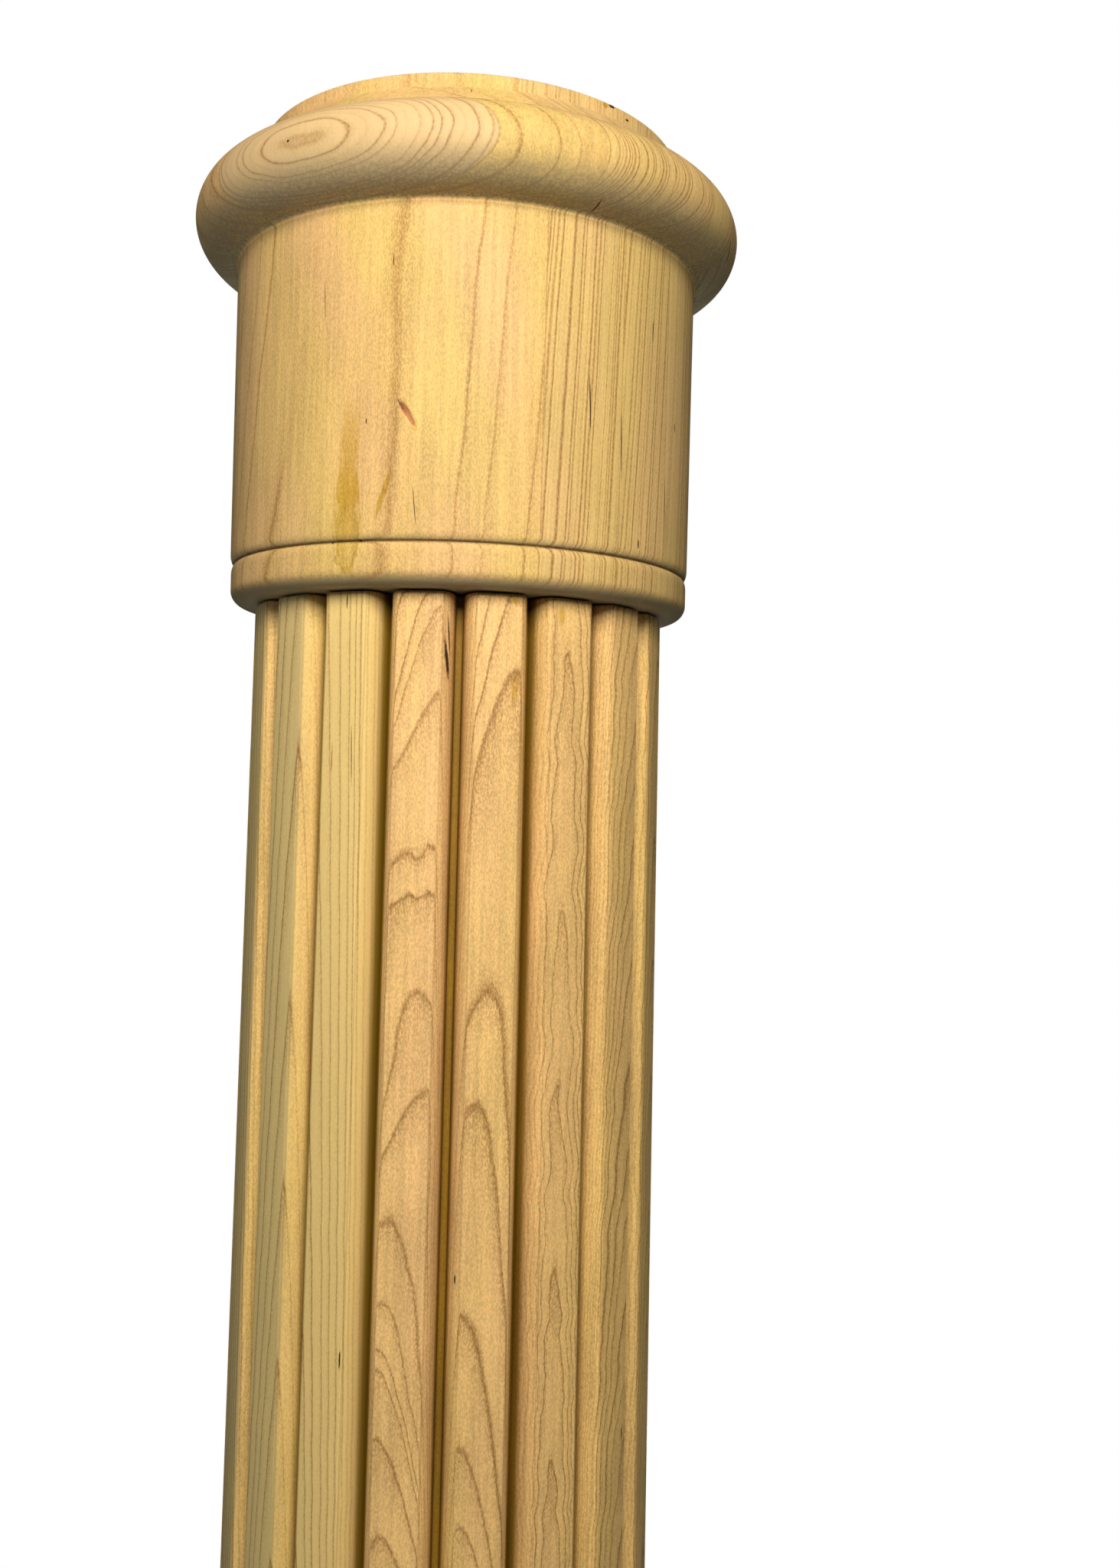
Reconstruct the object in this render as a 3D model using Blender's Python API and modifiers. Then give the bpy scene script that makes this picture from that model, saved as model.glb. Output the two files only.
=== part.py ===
"""A round newel post of bare pale hardwood: a turned base, a tapered shaft cut with reeds, and a turned capital.

Units are metres and +Z is up. The origin is the centre of the base's underside, and a groove
between two reeds faces -Y.
"""

import math

import bmesh
import bpy
from mathutils import Matrix

# The shaft, widest at its foot
SHAFT_LENGTH = 0.981
SHAFT_TOP_RADIUS = 0.05715
SHAFT_FOOT_RADIUS = 0.0672

# One reed, measured at the top of the shaft. Its flat crown takes what the shoulders and the groove leave.
REED_COUNT = 18
REED_DEPTH = 0.0088
SHOULDER_WIDTH = 0.0036
GROOVE_WIDTH = 0.0016
SHOULDER_START_DEGREES = 14

# The bead and the drum next to the reeds, the same section on the capital and the base
DRUM_OVERHANG = 0.00715
BEAD_HEIGHT = 0.0108
BEAD_SETBACK = 0.0002
BEAD_ROUND = 0.0038
BEAD_SHOULDER = 0.0026
QUIRK_DEPTH = 0.0014
DRUM_LIP = 0.0026

# The big half-round ring at the far end of each drum, with a small fillet under it
RING_SETOUT = 0.00055
RING_FILLET = 0.0012

# The capital
CAPITAL_DRUM_HEIGHT = 0.0832
CAPITAL_RING_RADIUS = 0.01114
COVE_HEIGHT = 0.0072
COVE_HOLLOW = 0.0007
TOP_PLATE_SETBACK = 0.0061
TOP_PLATE_HEIGHT = 0.0035
TOP_PLATE_EDGE = 0.0008

# The base
BASE_DRUM_HEIGHT = 0.0516
BASE_RING_RADIUS = 0.0130
FOOT_PROJECTION = 0.0115
FOOT_HEIGHT = 0.0224
FOOT_EDGE = 0.0010

# The glue line between two pieces
JOINT_GAP = 0.0003

# How finely the curves are cut up
TURNING_STEPS = 60
RING_STEPS = 12
BEAD_STEPS = 4
SMALL_STEPS = 2
SHOULDER_STEPS = 6
SMOOTH_ANGLE_DEGREES = 32

# Sanded, unfinished wood
WOOD_COLOUR = (0.66, 0.47, 0.24, 1.0)
WOOD_ROUGHNESS = 0.62


def arc(centre, radii, start, end, steps):
    """Points of an elliptical arc in the (radius, height) plane. Angles are in degrees from the outward direction."""
    points = []
    for step in range(steps + 1):
        angle = math.radians(start + (end - start) * step / steps)
        points.append((centre[0] + radii[0] * math.cos(angle), centre[1] + radii[1] * math.sin(angle)))
    return points


def collar(drum_radius):
    """The flat face that meets the reeds, the bead and the drum's rounded edge. Heights run away from the reeds."""
    bead_radius = drum_radius - BEAD_SETBACK
    quirk_radius = drum_radius - QUIRK_DEPTH
    bead_reach = bead_radius - quirk_radius
    points = [(0.0, 0.0)]
    points += arc((bead_radius - BEAD_ROUND, BEAD_ROUND), (BEAD_ROUND, BEAD_ROUND), -90, 0, BEAD_STEPS)
    points += arc((quirk_radius, BEAD_HEIGHT - BEAD_SHOULDER), (bead_reach, BEAD_SHOULDER), 0, 90, SMALL_STEPS)
    points += arc((quirk_radius, BEAD_HEIGHT + DRUM_LIP), (QUIRK_DEPTH, DRUM_LIP), -90, 0, SMALL_STEPS)[1:]
    return points


def ring(drum_radius, drum_end, ring_radius):
    """The fillet at the drum's end and the half-round ring beyond it, up to the ring's far side."""
    ring_centre = drum_radius + RING_SETOUT
    fillet_centre = (drum_radius + RING_FILLET, drum_end - RING_FILLET)
    start = math.degrees(math.acos((RING_FILLET - RING_SETOUT) / ring_radius))
    points = arc(fillet_centre, (RING_FILLET, RING_FILLET), 180, 90, SMALL_STEPS)[:-1]
    points += arc((ring_centre, drum_end + ring_radius), (ring_radius, ring_radius), -start, 90, RING_STEPS)
    return points


def hollow(start, end, depth, steps):
    """Points after start, up and in to end, on a shallow hollow that is depth below the straight line."""
    run, rise = end[0] - start[0], end[1] - start[1]
    length = math.hypot(run, rise)
    points = []
    for step in range(1, steps + 1):
        share = step / steps
        sag = depth * 4 * share * (1 - share) / length
        points.append((start[0] + run * share - rise * sag, start[1] + rise * share + run * sag))
    return points


def capital_profile():
    """The capital's section, from the face on the reeds up to the middle of its flat top."""
    drum_radius = SHAFT_TOP_RADIUS + DRUM_OVERHANG
    drum_end = BEAD_HEIGHT + CAPITAL_DRUM_HEIGHT
    points = collar(drum_radius) + ring(drum_radius, drum_end, CAPITAL_RING_RADIUS)
    plate_radius = drum_radius - TOP_PLATE_SETBACK
    plate_start = points[-1][1] + COVE_HEIGHT
    top = plate_start + TOP_PLATE_HEIGHT
    edge_centre = (plate_radius - TOP_PLATE_EDGE, top - TOP_PLATE_EDGE)
    points += hollow(points[-1], (plate_radius, plate_start), COVE_HOLLOW, BEAD_STEPS)
    points += arc(edge_centre, (TOP_PLATE_EDGE, TOP_PLATE_EDGE), 0, 90, SMALL_STEPS)
    return points + [(0.0, top)]


def base_profile():
    """The base's section, from the face under the reeds to the middle of its flat underside, as depths."""
    drum_radius = SHAFT_FOOT_RADIUS + DRUM_OVERHANG
    drum_end = BEAD_HEIGHT + BASE_DRUM_HEIGHT
    points = collar(drum_radius) + ring(drum_radius, drum_end, BASE_RING_RADIUS)
    foot_radius = drum_radius + FOOT_PROJECTION
    foot_start = points[-1][1]
    underside = foot_start + FOOT_HEIGHT
    edge_centre = foot_radius - FOOT_EDGE
    points += arc((edge_centre, foot_start + FOOT_EDGE), (FOOT_EDGE, FOOT_EDGE), -90, 0, SMALL_STEPS)
    points += arc((edge_centre, underside - FOOT_EDGE), (FOOT_EDGE, FOOT_EDGE), 0, 90, SMALL_STEPS)
    return points + [(0.0, underside)]


def reed_section():
    """One reed's outline as (depth below the crown, angle from the reed's middle), from groove to groove."""
    pitch = math.tau / REED_COUNT
    groove_half = GROOVE_WIDTH / 2 / (SHAFT_TOP_RADIUS - REED_DEPTH)
    crown_half = pitch / 2 - (GROOVE_WIDTH / 2 + SHOULDER_WIDTH) / SHAFT_TOP_RADIUS
    start = math.radians(SHOULDER_START_DEGREES)
    side = []
    for step in range(SHOULDER_STEPS + 1):
        turn = start + (math.pi / 2 - start) * step / SHOULDER_STEPS
        across = (math.sin(turn) - math.sin(start)) / (1 - math.sin(start))
        down = (math.cos(start) - math.cos(turn)) / math.cos(start)
        side.append((down * REED_DEPTH, crown_half + across * (pitch / 2 - groove_half - crown_half)))
    crown = [(0.0, crown_half * share) for share in (-1 / 3, 1 / 3)]
    return [(depth, -angle) for depth, angle in reversed(side)] + crown + side


def shaft_outline():
    """The shaft's closed outline at its top, with every reed."""
    section = reed_section()
    points = []
    for reed in range(REED_COUNT):
        middle = -math.pi / 2 + math.tau * (reed + 0.5) / REED_COUNT
        for depth, angle in section:
            radius = SHAFT_TOP_RADIUS - depth
            points.append((radius * math.cos(middle + angle), radius * math.sin(middle + angle)))
    return points


def clear_scene():
    for obj in list(bpy.data.objects):
        bpy.data.objects.remove(obj, do_unlink=True)


def wood(name):
    material = bpy.data.materials.new(name)
    material.use_nodes = True
    shader = material.node_tree.nodes["Principled BSDF"]
    shader.inputs["Base Color"].default_value = WOOD_COLOUR
    shader.inputs["Roughness"].default_value = WOOD_ROUGHNESS
    shader.inputs["Metallic"].default_value = 0.0
    return material


def turned(name, profile, collection):
    """A turned piece. The profile runs down its outer side and a Screw modifier takes it round."""
    mesh = bpy.data.meshes.new(name)
    edges = [(index, index + 1) for index in range(len(profile) - 1)]
    mesh.from_pydata([(radius, 0.0, height) for radius, height in profile], edges, [])
    piece = bpy.data.objects.new(name, mesh)
    collection.objects.link(piece)
    mesh.materials.append(wood(name + "_wood"))
    screw = piece.modifiers.new("Turning", "SCREW")
    screw.axis = "Z"
    screw.steps = TURNING_STEPS
    screw.render_steps = TURNING_STEPS
    screw.use_merge_vertices = True
    screw.merge_threshold = 0.00001
    screw.use_smooth_shade = True
    return piece


def weld(mesh):
    """Joins the loose caps of an extruded outline to its sides."""
    work = bmesh.new()
    work.from_mesh(mesh)
    bmesh.ops.remove_doubles(work, verts=work.verts, dist=0.00001)
    work.to_mesh(mesh)
    work.free()


def reeded_shaft(collection):
    """The reeded outline, extruded down from the shaft's top and widened towards its foot."""
    name = "reeded_shaft"
    outline = shaft_outline()
    curve = bpy.data.curves.new(name + "_outline", "CURVE")
    curve.dimensions = "2D"
    curve.fill_mode = "BOTH"
    curve.extrude = SHAFT_LENGTH / 2
    spline = curve.splines.new("POLY")
    spline.points.add(len(outline) - 1)
    for point, (x, y) in zip(spline.points, outline):
        point.co = (x, y, 0.0, 1.0)
    spline.use_cyclic_u = True
    guide = bpy.data.objects.new(name + "_outline", curve)
    collection.objects.link(guide)
    graph = bpy.context.evaluated_depsgraph_get()
    mesh = bpy.data.meshes.new_from_object(guide.evaluated_get(graph))
    bpy.data.objects.remove(guide, do_unlink=True)
    weld(mesh)
    mesh.name = name
    mesh.transform(Matrix.Translation((0.0, 0.0, -SHAFT_LENGTH / 2)))
    mesh.materials.clear()
    mesh.materials.append(wood(name + "_wood"))
    mesh.shade_smooth()
    mesh.set_sharp_from_angle(angle=math.radians(SMOOTH_ANGLE_DEGREES))
    shaft = bpy.data.objects.new(name, mesh)
    collection.objects.link(shaft)
    taper = shaft.modifiers.new("Taper", "SIMPLE_DEFORM")
    taper.deform_method = "TAPER"
    taper.deform_axis = "Z"
    taper.factor = 1 - SHAFT_FOOT_RADIUS / SHAFT_TOP_RADIUS
    return shaft


def build():
    clear_scene()
    collection = bpy.data.collections.new("newel_post")
    bpy.context.scene.collection.children.link(collection)

    base_section = base_profile()
    base_height = base_section[-1][1]
    base = turned("turned_base", [(radius, -depth) for radius, depth in base_section], collection)
    base.location.z = base_height

    shaft = reeded_shaft(collection)
    shaft.location.z = base_height + JOINT_GAP + SHAFT_LENGTH

    capital = turned("turned_capital", capital_profile()[::-1], collection)
    capital.location.z = shaft.location.z + JOINT_GAP


build()
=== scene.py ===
# %% [markdown]
# A newel post stands at the foot of a stair and holds the end of the handrail. This one is bare wood. Its
# shaft is cut all round with reeds, which are rounded strips side by side, and on top of it sits a turned
# capital with a bead, a plain drum, a big half-round ring and a low top plate.
#
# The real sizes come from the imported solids, so the first step loads them. Everything here is then made
# in the same place and at the same size, only much finer.

# %% Load the frame
import math

import bpy
import numpy as np
from mathutils import Matrix, Vector


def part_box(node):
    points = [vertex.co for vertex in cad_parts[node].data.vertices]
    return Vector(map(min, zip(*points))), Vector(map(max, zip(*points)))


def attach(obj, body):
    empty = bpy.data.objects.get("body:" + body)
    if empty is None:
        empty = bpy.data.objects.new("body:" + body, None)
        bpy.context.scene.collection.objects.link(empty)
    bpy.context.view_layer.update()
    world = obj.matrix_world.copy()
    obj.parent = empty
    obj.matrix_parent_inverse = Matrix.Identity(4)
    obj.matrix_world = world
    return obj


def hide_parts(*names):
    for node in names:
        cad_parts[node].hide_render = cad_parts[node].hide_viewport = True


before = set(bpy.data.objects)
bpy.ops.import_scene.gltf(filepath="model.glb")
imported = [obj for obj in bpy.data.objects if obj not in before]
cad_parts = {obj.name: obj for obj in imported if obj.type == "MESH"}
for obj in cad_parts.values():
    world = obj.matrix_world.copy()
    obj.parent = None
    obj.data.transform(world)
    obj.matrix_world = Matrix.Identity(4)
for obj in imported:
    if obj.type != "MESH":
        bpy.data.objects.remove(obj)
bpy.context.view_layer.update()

MM = 0.001
base_low, base_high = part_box("turned_base")
shaft_low, shaft_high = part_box("reeded_shaft")
capital_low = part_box("turned_capital")[0]

# %% [markdown]
# The camera stands close to the post, a little lower than the capital, and looks almost level. That is
# why the eye sees the underside of the ring and the bead. A wide lens at a short distance also makes the
# shaft look as if it narrows downwards less than it does. A camera in Blender looks along its own -Z
# axis, so a direction is turned into a rotation with to_track_quat, and the small roll is a turn about
# that same axis.

# %% Camera
PICTURE_HEIGHT = 2048
FOCAL_LENGTH_PIXELS = 1869.7
SENSOR = 36.0
CAMERA_DISTANCE = 410.1 * MM
CAMERA_BELOW_CAPITAL = 47.3 * MM
CAMERA_YAW = math.radians(4.16)
CAMERA_PITCH = math.radians(0.03)
CAMERA_ROLL = math.radians(1.51)

camera = bpy.data.objects.new("photo_camera", bpy.data.cameras.new("photo_camera"))
bpy.context.scene.collection.objects.link(camera)
camera.data.sensor_width = SENSOR
camera.data.lens = FOCAL_LENGTH_PIXELS / PICTURE_HEIGHT * SENSOR
ahead = Vector((
    math.sin(CAMERA_YAW) * math.cos(CAMERA_PITCH),
    math.cos(CAMERA_YAW) * math.cos(CAMERA_PITCH),
    math.sin(CAMERA_PITCH),
))
level = ahead.to_track_quat("-Z", "Y").to_matrix().to_4x4()
spot = Vector((0.0, -CAMERA_DISTANCE, capital_low.z - CAMERA_BELOW_CAPITAL))
camera.matrix_world = Matrix.Translation(spot) @ level @ Matrix.Rotation(CAMERA_ROLL, 4, "Z")
bpy.context.scene.camera = camera
print("lens", round(camera.data.lens, 2), "mm, camera at", [round(value, 3) for value in spot])

# %% [markdown]
# Small products are often shot in a white room: the background burns out to pure white, while the light
# on the object itself stays soft and weaker. A world shader can do the same. The Light Path node tells
# whether a ray comes straight from the camera, which then sees white, and every other ray meets a dim,
# slightly cool sky that is brighter above than below.

# %% White room
SKY_COLOUR = (0.82, 0.98, 1.02, 1.0)
SKY_ABOVE = 0.06
SKY_BELOW = 0.055

bpy.context.scene.view_settings.view_transform = "Standard"
world = bpy.data.worlds.new("white_room")
bpy.context.scene.world = world
world.use_nodes = True
room = world.node_tree
room.nodes.clear()
direction = room.nodes.new("ShaderNodeTexCoord")
height = room.nodes.new("ShaderNodeSeparateXYZ")
strength = room.nodes.new("ShaderNodeMapRange")
sky = room.nodes.new("ShaderNodeBackground")
white = room.nodes.new("ShaderNodeBackground")
ray = room.nodes.new("ShaderNodeLightPath")
either = room.nodes.new("ShaderNodeMixShader")
result = room.nodes.new("ShaderNodeOutputWorld")
sky.inputs["Color"].default_value = SKY_COLOUR
strength.inputs["From Min"].default_value = -1.0
strength.inputs["To Min"].default_value = SKY_BELOW
strength.inputs["To Max"].default_value = SKY_ABOVE
white.inputs["Color"].default_value = (1.0, 1.0, 1.0, 1.0)
for output, socket in (
    (direction.outputs["Generated"], height.inputs[0]),
    (height.outputs["Z"], strength.inputs["Value"]),
    (strength.outputs["Result"], sky.inputs["Strength"]),
    (ray.outputs["Is Camera Ray"], either.inputs[0]),
    (sky.outputs[0], either.inputs[1]),
    (white.outputs[0], either.inputs[2]),
    (either.outputs[0], result.inputs["Surface"]),
):
    room.links.new(output, socket)
print("sky from", SKY_BELOW, "below to", SKY_ABOVE, "above")

# %% [markdown]
# The main light is one soft panel in front of the post and a little above the capital. It is near enough
# that the light gets weaker down the shaft and towards both sides of the round forms, and its low angle
# leaves the undersides of the ring and the bead in shade. An area light shines along its own -Z axis, as
# a camera looks.

# %% Soft panel
PANEL_SIDE = 0.26
PANEL_PLACE = Vector((0.0, -0.52, 1.336))
PANEL_AIM = Vector((0.0, 0.0, 0.90))
PANEL_POWER = 4.2
PANEL_COLOUR = (1.0, 0.955, 0.86)


def soft_light(name, side, power, place, aim):
    """A square area light. Sides and places are in metres, power in watts."""
    lamp = bpy.data.objects.new(name, bpy.data.lights.new(name, "AREA"))
    bpy.context.scene.collection.objects.link(lamp)
    lamp.data.size = side
    lamp.data.energy = power
    lamp.location = place
    lamp.rotation_euler = (aim - place).to_track_quat("-Z", "Y").to_euler()
    print(name, round((place - aim).length, 2), "m from where it points")
    return lamp


panel = soft_light("soft_panel", PANEL_SIDE, PANEL_POWER, PANEL_PLACE, PANEL_AIM)
panel.data.color = PANEL_COLOUR

# %% [markdown]
# A room is never quite dark on the other sides. A weak bluish light stands far to the left, where a
# window would be, and gives the left shoulders of the reeds their paler, cooler tone.

# %% Window light
WINDOW_SIDE = 0.6
WINDOW_PLACE = Vector((-0.95, -0.25, 0.98))
WINDOW_AIM = Vector((0.0, 0.0, 1.11))
WINDOW_POWER = 0.55
WINDOW_COLOUR = (0.76, 0.96, 1.12)

window = soft_light("window_light", WINDOW_SIDE, WINDOW_POWER, WINDOW_PLACE, WINDOW_AIM)
window.data.color = WINDOW_COLOUR

# %% [markdown]
# Two more lights leave the front of the post alone. One stands straight behind the post and shows its
# back. The other hangs over the floor. Light linking lets it reach nothing but the floor, and the post
# still casts its shadow there.

# %% Back light and floor light
BACK_SIDE = 0.4
BACK_PLACE = Vector((0.0, 1.3, 1.20))
BACK_AIM = Vector((0.0, 0.0, 0.7))
BACK_POWER = 8.5
FLOOR_LIGHT_SIDE = 1.4
FLOOR_LIGHT_PLACE = Vector((0.0, 0.0, 2.4))
FLOOR_LIGHT_POWER = 13.0

back_light = soft_light("back_light", BACK_SIDE, BACK_POWER, BACK_PLACE, BACK_AIM)
floor_light = soft_light("floor_light", FLOOR_LIGHT_SIDE, FLOOR_LIGHT_POWER, FLOOR_LIGHT_PLACE, Vector())
for lamp in (back_light, floor_light):
    lamp.visible_camera = False
lit_by_floor_light = bpy.data.collections.new("lit_by_floor_light")
floor_light.light_linking.receiver_collection = lit_by_floor_light

# %% [markdown]
# Shader nodes are easier to read as sums than as boxes and wires. This small class adds one node for each
# call and hands back its output, so a whole wood can be written line by line. It works in millimetres,
# because grain is about a millimetre wide.

# %% A short way to write shader nodes
class Recipe:
    """One material. Each call adds a node and gives back what comes out of it."""

    def __init__(self, name):
        self.material = bpy.data.materials.new(name)
        self.material.use_nodes = True
        self.tree = self.material.node_tree
        self.shader = self.tree.nodes["Principled BSDF"]
        object_place = self.tree.nodes.new("ShaderNodeTexCoord").outputs["Object"]
        self.place = self.vector("MULTIPLY", object_place, (1 / MM, 1 / MM, 1 / MM))

    def feed(self, socket, value):
        if isinstance(value, bpy.types.NodeSocket):
            self.tree.links.new(value, socket)
        else:
            socket.default_value = value

    def math(self, operation, *values):
        node = self.tree.nodes.new("ShaderNodeMath")
        node.operation = operation
        for socket, value in zip(node.inputs, values):
            self.feed(socket, value)
        return node.outputs["Value"]

    def plus(self, first, second):
        return self.math("ADD", first, second)

    def minus(self, first, second):
        return self.math("SUBTRACT", first, second)

    def times(self, first, second):
        return self.math("MULTIPLY", first, second)

    def over(self, first, second):
        return self.math("DIVIDE", first, second)

    def size(self, value):
        """How far a number is from zero."""
        return self.math("ABSOLUTE", value)

    def vector(self, operation, *values):
        node = self.tree.nodes.new("ShaderNodeVectorMath")
        node.operation = operation
        for socket, value in zip(node.inputs, values):
            self.feed(socket, value)
        single = operation in ("DOT_PRODUCT", "LENGTH", "DISTANCE")
        return node.outputs["Value" if single else "Vector"]

    def noise(self, place, size, detail=2.0):
        """Soft noise around 0.5 whose grains are about size millimetres long each way."""
        node = self.tree.nodes.new("ShaderNodeTexNoise")
        self.feed(node.inputs["Vector"], self.vector("DIVIDE", place, size))
        node.inputs["Scale"].default_value = 1.0
        node.inputs["Detail"].default_value = detail
        return node.outputs["Fac"]

    def ramp(self, value, low, high, start=0.0, end=1.0):
        """Goes smoothly from start to end while value goes from low to high."""
        node = self.tree.nodes.new("ShaderNodeMapRange")
        node.interpolation_type = "SMOOTHSTEP"
        for socket, number in zip(node.inputs, (value, low, high, start, end)):
            self.feed(socket, number)
        return node.outputs["Result"]

    def choose(self, share, first, second):
        """first where share is 0, second where it is 1, for plain numbers."""
        node = self.tree.nodes.new("ShaderNodeMix")
        for socket, value in zip((node.inputs[0], node.inputs[2], node.inputs[3]), (share, first, second)):
            self.feed(socket, value)
        return node.outputs[0]

    def blend(self, share, first, second, how="MIX"):
        """The same for colours."""
        node = self.tree.nodes.new("ShaderNodeMix")
        node.data_type = "RGBA"
        node.blend_type = how
        for socket, value in zip((node.inputs[0], node.inputs[6], node.inputs[7]), (share, first, second)):
            self.feed(socket, value)
        return node.outputs[2]

    def shade(self, ground, light):
        """A colour made lighter or darker by a plain number."""
        return self.blend(1.0, ground, self.join(light, light, light), "MULTIPLY")

    def split(self, vector):
        node = self.tree.nodes.new("ShaderNodeSeparateXYZ")
        self.feed(node.inputs[0], vector)
        return node.outputs

    def join(self, x, y, z):
        node = self.tree.nodes.new("ShaderNodeCombineXYZ")
        for socket, value in zip(node.inputs, (x, y, z)):
            self.feed(socket, value)
        return node.outputs[0]

# %% [markdown]
# Wood needs a few more tools. Trees do not grow by formula, so a bent line turns a distance into a ring
# number wherever the rings should lie at chosen places. Each board or stave takes its own values from a
# small table, which is a colour ramp with sharp steps. A stain, a crack or a split is a small flat spot
# at one place on the outside.

# %% Tools for wood
class Wood(Recipe):
    """A recipe that knows boards, rings and marks."""

    def curve(self, value, steps, soft=False):
        """A bent line through steps, pairs of (value, result) with rising values."""
        first, last = steps[0][0], steps[-1][0]
        low, high = min(result for _, result in steps), max(result for _, result in steps)
        node = self.tree.nodes.new("ShaderNodeFloatCurve")
        points = node.mapping.curves[0].points
        for _ in steps[2:]:
            points.new(0.5, 0.5)
        for point, (number, result) in zip(points, steps):
            point.location = ((number - first) / (last - first), (result - low) / (high - low))
            point.handle_type = "AUTO" if soft else "VECTOR"
        node.mapping.extend = "EXTRAPOLATED"
        node.mapping.use_clip = False
        node.mapping.update()
        share = self.over(self.minus(value, first), last - first)
        self.feed(node.inputs["Value"], share)
        return self.math("MULTIPLY_ADD", node.outputs["Value"], high - low, low)

    def chance(self, number):
        """A fixed random value from 0 to 1 for each whole number."""
        node = self.tree.nodes.new("ShaderNodeTexWhiteNoise")
        node.noise_dimensions = "1D"
        self.feed(node.inputs["W"], number)
        return node.outputs["Value"]

    def per_board(self, number, count, low, high, rows):
        """Looks up up to four values of a board by its number. Every value lies between low and high."""
        node = self.tree.nodes.new("ShaderNodeValToRGB")
        node.color_ramp.interpolation = "CONSTANT"
        stops = node.color_ramp.elements
        while len(stops) < count:
            stops.new(1.0)
        for index, row in enumerate(rows):
            stops[index].position = index / count
            stops[index].color = [(value - low) / (high - low) for value in row]
        self.feed(node.inputs[0], self.over(self.plus(number, 0.5), count))
        parts = self.tree.nodes.new("ShaderNodeSeparateColor")
        self.feed(parts.inputs[0], node.outputs["Color"])
        raw = [*parts.outputs, node.outputs["Alpha"]]
        return [self.math("MULTIPLY_ADD", value, high - low, low) for value in raw]

    def spot(self, place, half_size, azimuth, lean=0.0):
        """1 in the middle of a small flat spot on the post's outside, 0 from its edge on.

        half_size is (across, through, along). The angles are in degrees, and lean tips the spot's top to
        the right.
        """
        node = self.tree.nodes.new("ShaderNodeMapping")
        node.vector_type = "TEXTURE"
        turn = Matrix.Rotation(math.radians(azimuth), 3, "Z") @ Matrix.Rotation(math.radians(lean), 3, "Y")
        self.feed(node.inputs["Vector"], self.place)
        node.inputs["Location"].default_value = place
        node.inputs["Rotation"].default_value = turn.to_euler()
        node.inputs["Scale"].default_value = half_size
        away = self.vector("LENGTH", node.outputs[0])
        return self.minus(1.0, self.math("MINIMUM", away, 1.0))

    def spots(self, marks, depth=4.0):
        """The strongest of several spots, each (azimuth, radius, height, half width, half length, lean)."""
        total = 0.0
        for azimuth, radius, height, half_width, half_length, lean in marks:
            turn = math.radians(azimuth)
            place = (radius * math.sin(turn), -radius * math.cos(turn), height)
            share = self.spot(place, (half_width, depth, half_length), azimuth, lean)
            total = self.math("MAXIMUM", share, total)
        return total

    def ragged(self, marks, speckle, roughness, low, high, strength=1.0):
        """The same spots with a ragged edge, which comes from the wood's own speckle."""
        rough = self.math("MULTIPLY_ADD", speckle, roughness, self.spots(marks))
        return self.ramp(rough, low, high, 0.0, strength)

# %% [markdown]
# The floor is a plain pale disc. It fades out with the distance from the post, so that no edge shows
# against the white room.

# %% Floor
FLOOR_RADIUS = 1.35
FLOOR_FADE_START = 0.55
FLOOR_FADE_END = FLOOR_RADIUS * 0.97
FLOOR_COLOUR = (230, 236, 240)


def colour(red, green, blue):
    """A shader colour from the 0 to 255 values that a screen shows."""
    shares = [value / 255 for value in (red, green, blue)]
    linear = [share / 12.92 if share <= 0.04045 else ((share + 0.055) / 1.055) ** 2.4 for share in shares]
    return linear + [1.0]


floor_recipe = Recipe("pale_floor")
floor_recipe.shader.inputs["Base Color"].default_value = colour(*FLOOR_COLOUR)
floor_recipe.shader.inputs["Roughness"].default_value = 0.9
flat_place = floor_recipe.vector("MULTIPLY", floor_recipe.place, (MM, MM, 0.0))
from_middle = floor_recipe.vector("LENGTH", flat_place)
floor_recipe.feed(
    floor_recipe.shader.inputs["Alpha"],
    floor_recipe.ramp(from_middle, FLOOR_FADE_START, FLOOR_FADE_END, 1.0, 0.0),
)
bpy.ops.mesh.primitive_circle_add(vertices=96, radius=FLOOR_RADIUS, fill_type="NGON")
floor = bpy.context.object
floor.name = "floor"
floor.data.materials.append(floor_recipe.material)
print("floor", FLOOR_RADIUS, "m out, fading from", FLOOR_FADE_START, "m")
lit_by_floor_light.objects.link(floor)

# %% [markdown]
# A tree adds one ring a year round its pith, so growth rings are nested tubes. A lathe or a router only
# uncovers them. If the colour is worked out in space, from the distance to the pith, every cut shows the
# right figure by itself: straight lines where the cut runs across the rings, arches where it runs along
# them, and nested ovals where a round moulding swells out of a board.

# %% Growth rings
WOOD_LIGHT = colour(226, 190, 112)
WOOD_PINK = colour(230, 185, 124)
SHADE_AND_DUST_GREY = colour(146, 134, 104)
WOOD_YELLOW = colour(230, 200, 132)
WOOD_OVAL = colour(222, 190, 142)
WOOD_GREEN = colour(200, 182, 128)
WOOD_AMBER = colour(222, 212, 132)
BARK_RED = colour(170, 98, 62)
RING_BROWN = colour(146, 100, 48)
GROOVE_SHADE_AND_DIRT_BROWN = colour(158, 146, 66)
SPLIT_AND_SHADE_BROWN = colour(62, 42, 24)
GLOW_FALL = 1.6


def wander(wood, amounts):
    """How far the rings stray from true tubes, in millimetres. Each row is (across, along, amount)."""
    total = 0.0
    for across, along, amount in amounts:
        wave = wood.noise(wood.place, (across, across, along), 0.0)
        total = wood.math("MULTIPLY_ADD", wave, 2 * amount, wood.minus(total, amount))
    return total


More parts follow.
